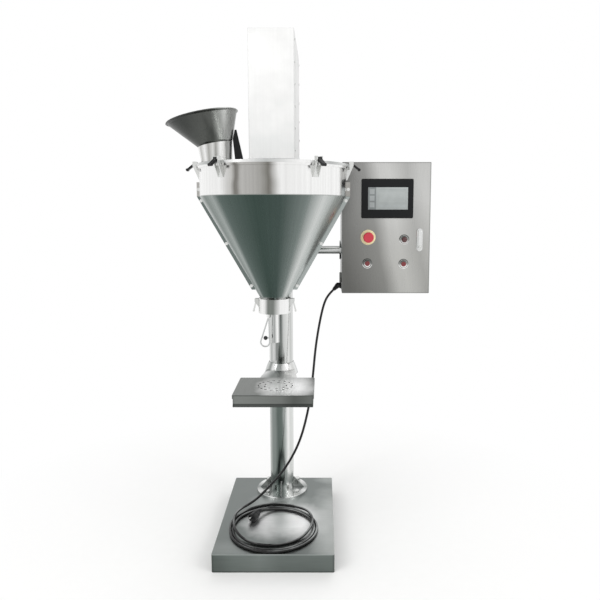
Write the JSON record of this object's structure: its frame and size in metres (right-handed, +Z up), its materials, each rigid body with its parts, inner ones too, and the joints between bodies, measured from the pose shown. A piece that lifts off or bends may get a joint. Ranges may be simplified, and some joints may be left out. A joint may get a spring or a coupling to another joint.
{
  "type": "auger powder filler",
  "caption": "Floor-standing powder filler: column on a base, conical hopper with a helical auger and agitator, tilted inlet funnel, height-set tray, and a control box on a side arm.",
  "frame": {"origin": "on the floor, straight below the fill axis of the nozzle", "axes": "+Z up along the fill axis, -Y towards the operator, +X to the operator's right"},
  "size_m": [0.9548, 0.695, 1.848],
  "materials": {
    "base_sheet": "satin brushed",
    "base_weight": "dark primer",
    "column_steel": "polished",
    "head_steel": "satin",
    "hopper_steel": "mirror polished",
    "lid_steel": "polished",
    "funnel_steel": "polished",
    "stay_black": "satin black",
    "fastener_steel": "bright",
    "lever_black": "gloss black",
    "tube_steel": "polished",
    "tray_steel": "satin brushed",
    "cover_sheet": "pale satin",
    "motor_black": "satin black",
    "motor_grey": "satin grey",
    "plate_aluminium": "milled",
    "bearing_steel": "ground",
    "belt_rubber": "matt",
    "box_steel": "brushed stainless",
    "zinc_sheet": "zinc plated",
    "module_grey": "matt",
    "bezel_black": "satin",
    "screen_grey": "gloss",
    "stop_yellow": "gloss",
    "stop_red": "gloss",
    "button_red": "gloss",
    "lamp_red": "gloss",
    "bezel_chrome": "bright",
    "lock_chrome": "bright",
    "gland_black": "satin",
    "cord_black": "gloss black",
    "plug_black": "satin black"
  },
  "bodies": {
    "machine": {"base_cover": "base_sheet", "base_plate": "base_weight", "column_flange": "head_steel", "flange_bolts": "fastener_steel", "column_tube": "column_steel", "head_plate": "head_steel", "hopper_front": "hopper_steel", "hopper_rear": "hopper_steel", "seam_bolts": "fastener_steel", "lid": "lid_steel", "inlet_funnel": "funnel_steel", "inlet_stay": "stay_black", "lid_brackets": "fastener_steel", "outlet_collar": "tube_steel", "fill_tube": "tube_steel", "fill_nozzle": "tube_steel", "bearing_housing": "head_steel", "head_bearings": "bearing_steel", "timing_belt": "belt_rubber", "motor_plate": "head_steel", "servo_motor": "motor_black", "agitator_motor": "motor_grey", "motor_cover": "cover_sheet", "arm_clamp": "head_steel", "arm_tube": "column_steel", "box_shell": "box_steel", "mounting_plate": "zinc_sheet", "control_modules": "module_grey", "cable_gland": "gland_black", "power_cord": "cord_black", "cord_coil": "cord_black", "power_plug": "plug_black"},
    "tray": {"tray_bracket": "head_steel", "tray_pan": "tray_steel"},
    "tray_plate": {"tray_plate": "tray_steel"},
    "tray_clamp": {"tray_clamp_lever": "lever_black"},
    "lid_clamp_1": {"lid_lever_1": "lever_black"},
    "lid_clamp_2": {"lid_lever_2": "lever_black"},
    "lid_clamp_3": {"lid_lever_3": "lever_black"},
    "lid_clamp_4": {"lid_lever_4": "lever_black"},
    "collar_clamp_right": {"collar_lever_right": "fastener_steel"},
    "collar_clamp_left": {"collar_lever_left": "fastener_steel"},
    "hanging_handle": {"swing_handle": "fastener_steel"},
    "auger": {"auger_screw": "tube_steel", "auger_shaft": "tube_steel", "shaft_coupling": "plate_aluminium"},
    "agitator": {"agitator": "tube_steel", "driven_pulley": "plate_aluminium"},
    "drive": {"drive_pulley": "plate_aluminium"},
    "door": {"box_door": "box_steel", "lock_housing": "lock_chrome", "hmi_panel": "bezel_black", "hmi_screen": "screen_grey", "estop_ring": "stop_yellow", "button_bezels": "bezel_chrome", "signal_lamp": "lamp_red"},
    "lock": {"lock_handle": "lock_chrome"},
    "stop_head": {"estop_head": "stop_red"},
    "start_push_button": {"start_button": "button_red"},
    "stop_push_button": {"stop_button": "button_red"}
  },
  "joints": [
    {"name": "tray_height", "type": "slide", "parent": "machine", "child": "tray", "axis": [0, 0, 1], "range_m": [-0.11, 0.06]},
    {"name": "tray_plate_lift", "type": "slide", "parent": "tray", "child": "tray_plate", "axis": [0, 0, 1], "range_m": [0, 0.025]},
    {"name": "tray_clamp_turn", "type": "hinge", "parent": "tray", "child": "tray_clamp", "pos_m": [0.021, 0.3953, 0.558], "axis": [1, 0, 0], "range_deg": [0, 80]},
    {"name": "lid_clamp_1_turn", "type": "hinge", "parent": "machine", "child": "lid_clamp_1", "pos_m": [-0.16046, -0.22086, 1.4083], "axis": [-0.809, 0.5878, 0], "range_deg": [0, 115]},
    {"name": "lid_clamp_2_turn", "type": "hinge", "parent": "machine", "child": "lid_clamp_2", "pos_m": [0.16046, -0.22086, 1.4083], "axis": [-0.809, -0.5878, 0], "range_deg": [0, 115]},
    {"name": "lid_clamp_3_turn", "type": "hinge", "parent": "machine", "child": "lid_clamp_3", "pos_m": [0.273, 0, 1.4083], "axis": [0, -1, 0], "range_deg": [0, 115]},
    {"name": "lid_clamp_4_turn", "type": "hinge", "parent": "machine", "child": "lid_clamp_4", "pos_m": [-0.273, 0, 1.4083], "axis": [0, 1, 0], "range_deg": [0, 115]},
    {"name": "collar_clamp_right_turn", "type": "hinge", "parent": "machine", "child": "collar_clamp_right", "pos_m": [0.0655, 0, 0.9288], "axis": [0, -1, 0], "range_deg": [0, 105]},
    {"name": "collar_clamp_left_turn", "type": "hinge", "parent": "machine", "child": "collar_clamp_left", "pos_m": [-0.0655, 0, 0.9288], "axis": [0, 1, 0], "range_deg": [0, 105]},
    {"name": "handle_swing", "type": "hinge", "parent": "machine", "child": "hanging_handle", "pos_m": [-0.019, -0.026, 0.875], "axis": [0, 1, 0], "range_deg": [-10, 80]},
    {"name": "auger_spin", "type": "hinge", "parent": "machine", "child": "auger", "pos_m": [0, 0, 1.2], "axis": [0, 0, 1], "continuous": true},
    {"name": "agitator_spin", "type": "hinge", "parent": "machine", "child": "agitator", "pos_m": [0, 0, 1.3], "axis": [0, 0, 1], "continuous": true},
    {"name": "drive_pulley_spin", "type": "hinge", "parent": "machine", "child": "drive", "pos_m": [0, 0.19, 1.5], "axis": [0, 0, 1], "continuous": true},
    {"name": "box_door_swing", "type": "hinge", "parent": "machine", "child": "door", "pos_m": [0.2416, 0.2055, 1.179], "axis": [0, 0, -1], "range_deg": [0, 60]},
    {"name": "lock_turn", "type": "hinge", "parent": "door", "child": "lock", "pos_m": [0.5456, 0.18, 1.147], "axis": [0, -1, 0], "range_deg": [0, 90]},
    {"name": "stop_head_push", "type": "slide", "parent": "door", "child": "stop_head", "axis": [0, 1, 0], "range_m": [0, 0.004], "stiffness_N_per_m": 2500, "springref_m": -0.002},
    {"name": "start_push", "type": "slide", "parent": "door", "child": "start_push_button", "axis": [0, 1, 0], "range_m": [0, 0.003], "stiffness_N_per_m": 1200, "springref_m": -0.001},
    {"name": "stop_push", "type": "slide", "parent": "door", "child": "stop_push_button", "axis": [0, 1, 0], "range_m": [0, 0.003], "stiffness_N_per_m": 1200, "springref_m": -0.001}
  ],
  "couplings": [
    {"joint": "drive_pulley_spin", "follows": "agitator_spin", "ratio": 1.6}
  ]
}
